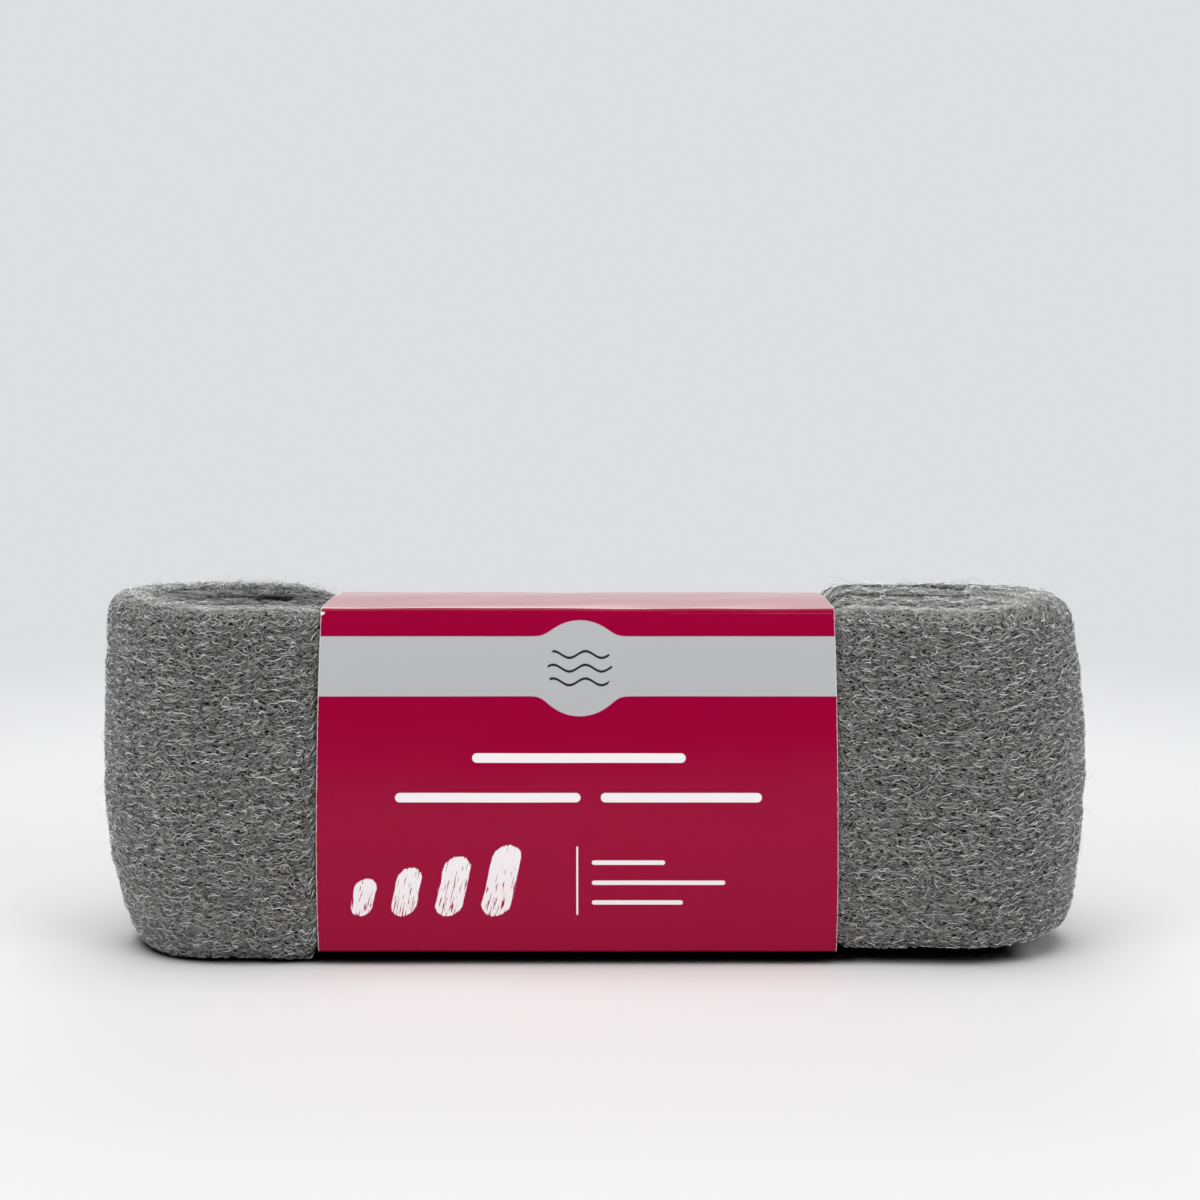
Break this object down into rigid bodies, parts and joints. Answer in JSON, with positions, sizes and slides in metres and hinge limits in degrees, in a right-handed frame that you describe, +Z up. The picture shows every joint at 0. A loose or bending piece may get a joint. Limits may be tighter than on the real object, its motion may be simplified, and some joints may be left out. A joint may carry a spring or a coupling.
{
  "type": "steel wool roll",
  "caption": "Flattened roll of fine steel wool ribbon standing on its edge, with soft folded ends and a printed card sleeve around its middle.",
  "frame": {"origin": "on the table under the middle of the roll", "axes": "+X along the roll from its left end to its right end as the printed face is seen, +Y from the printed face to the back, +Z up"},
  "size_m": [0.2549, 0.0662, 0.0918],
  "materials": {
    "steel_wool": "loose mat of fine crimped steel fibres, dull grey with bright glints",
    "printed_card": "thin white card printed crimson and silver grey, glossy varnish outside, white cut edges"
  },
  "bodies": {
    "root": {"steel_wool_roll": "steel_wool", "card_sleeve": "printed_card"}
  },
  "joints": []
}
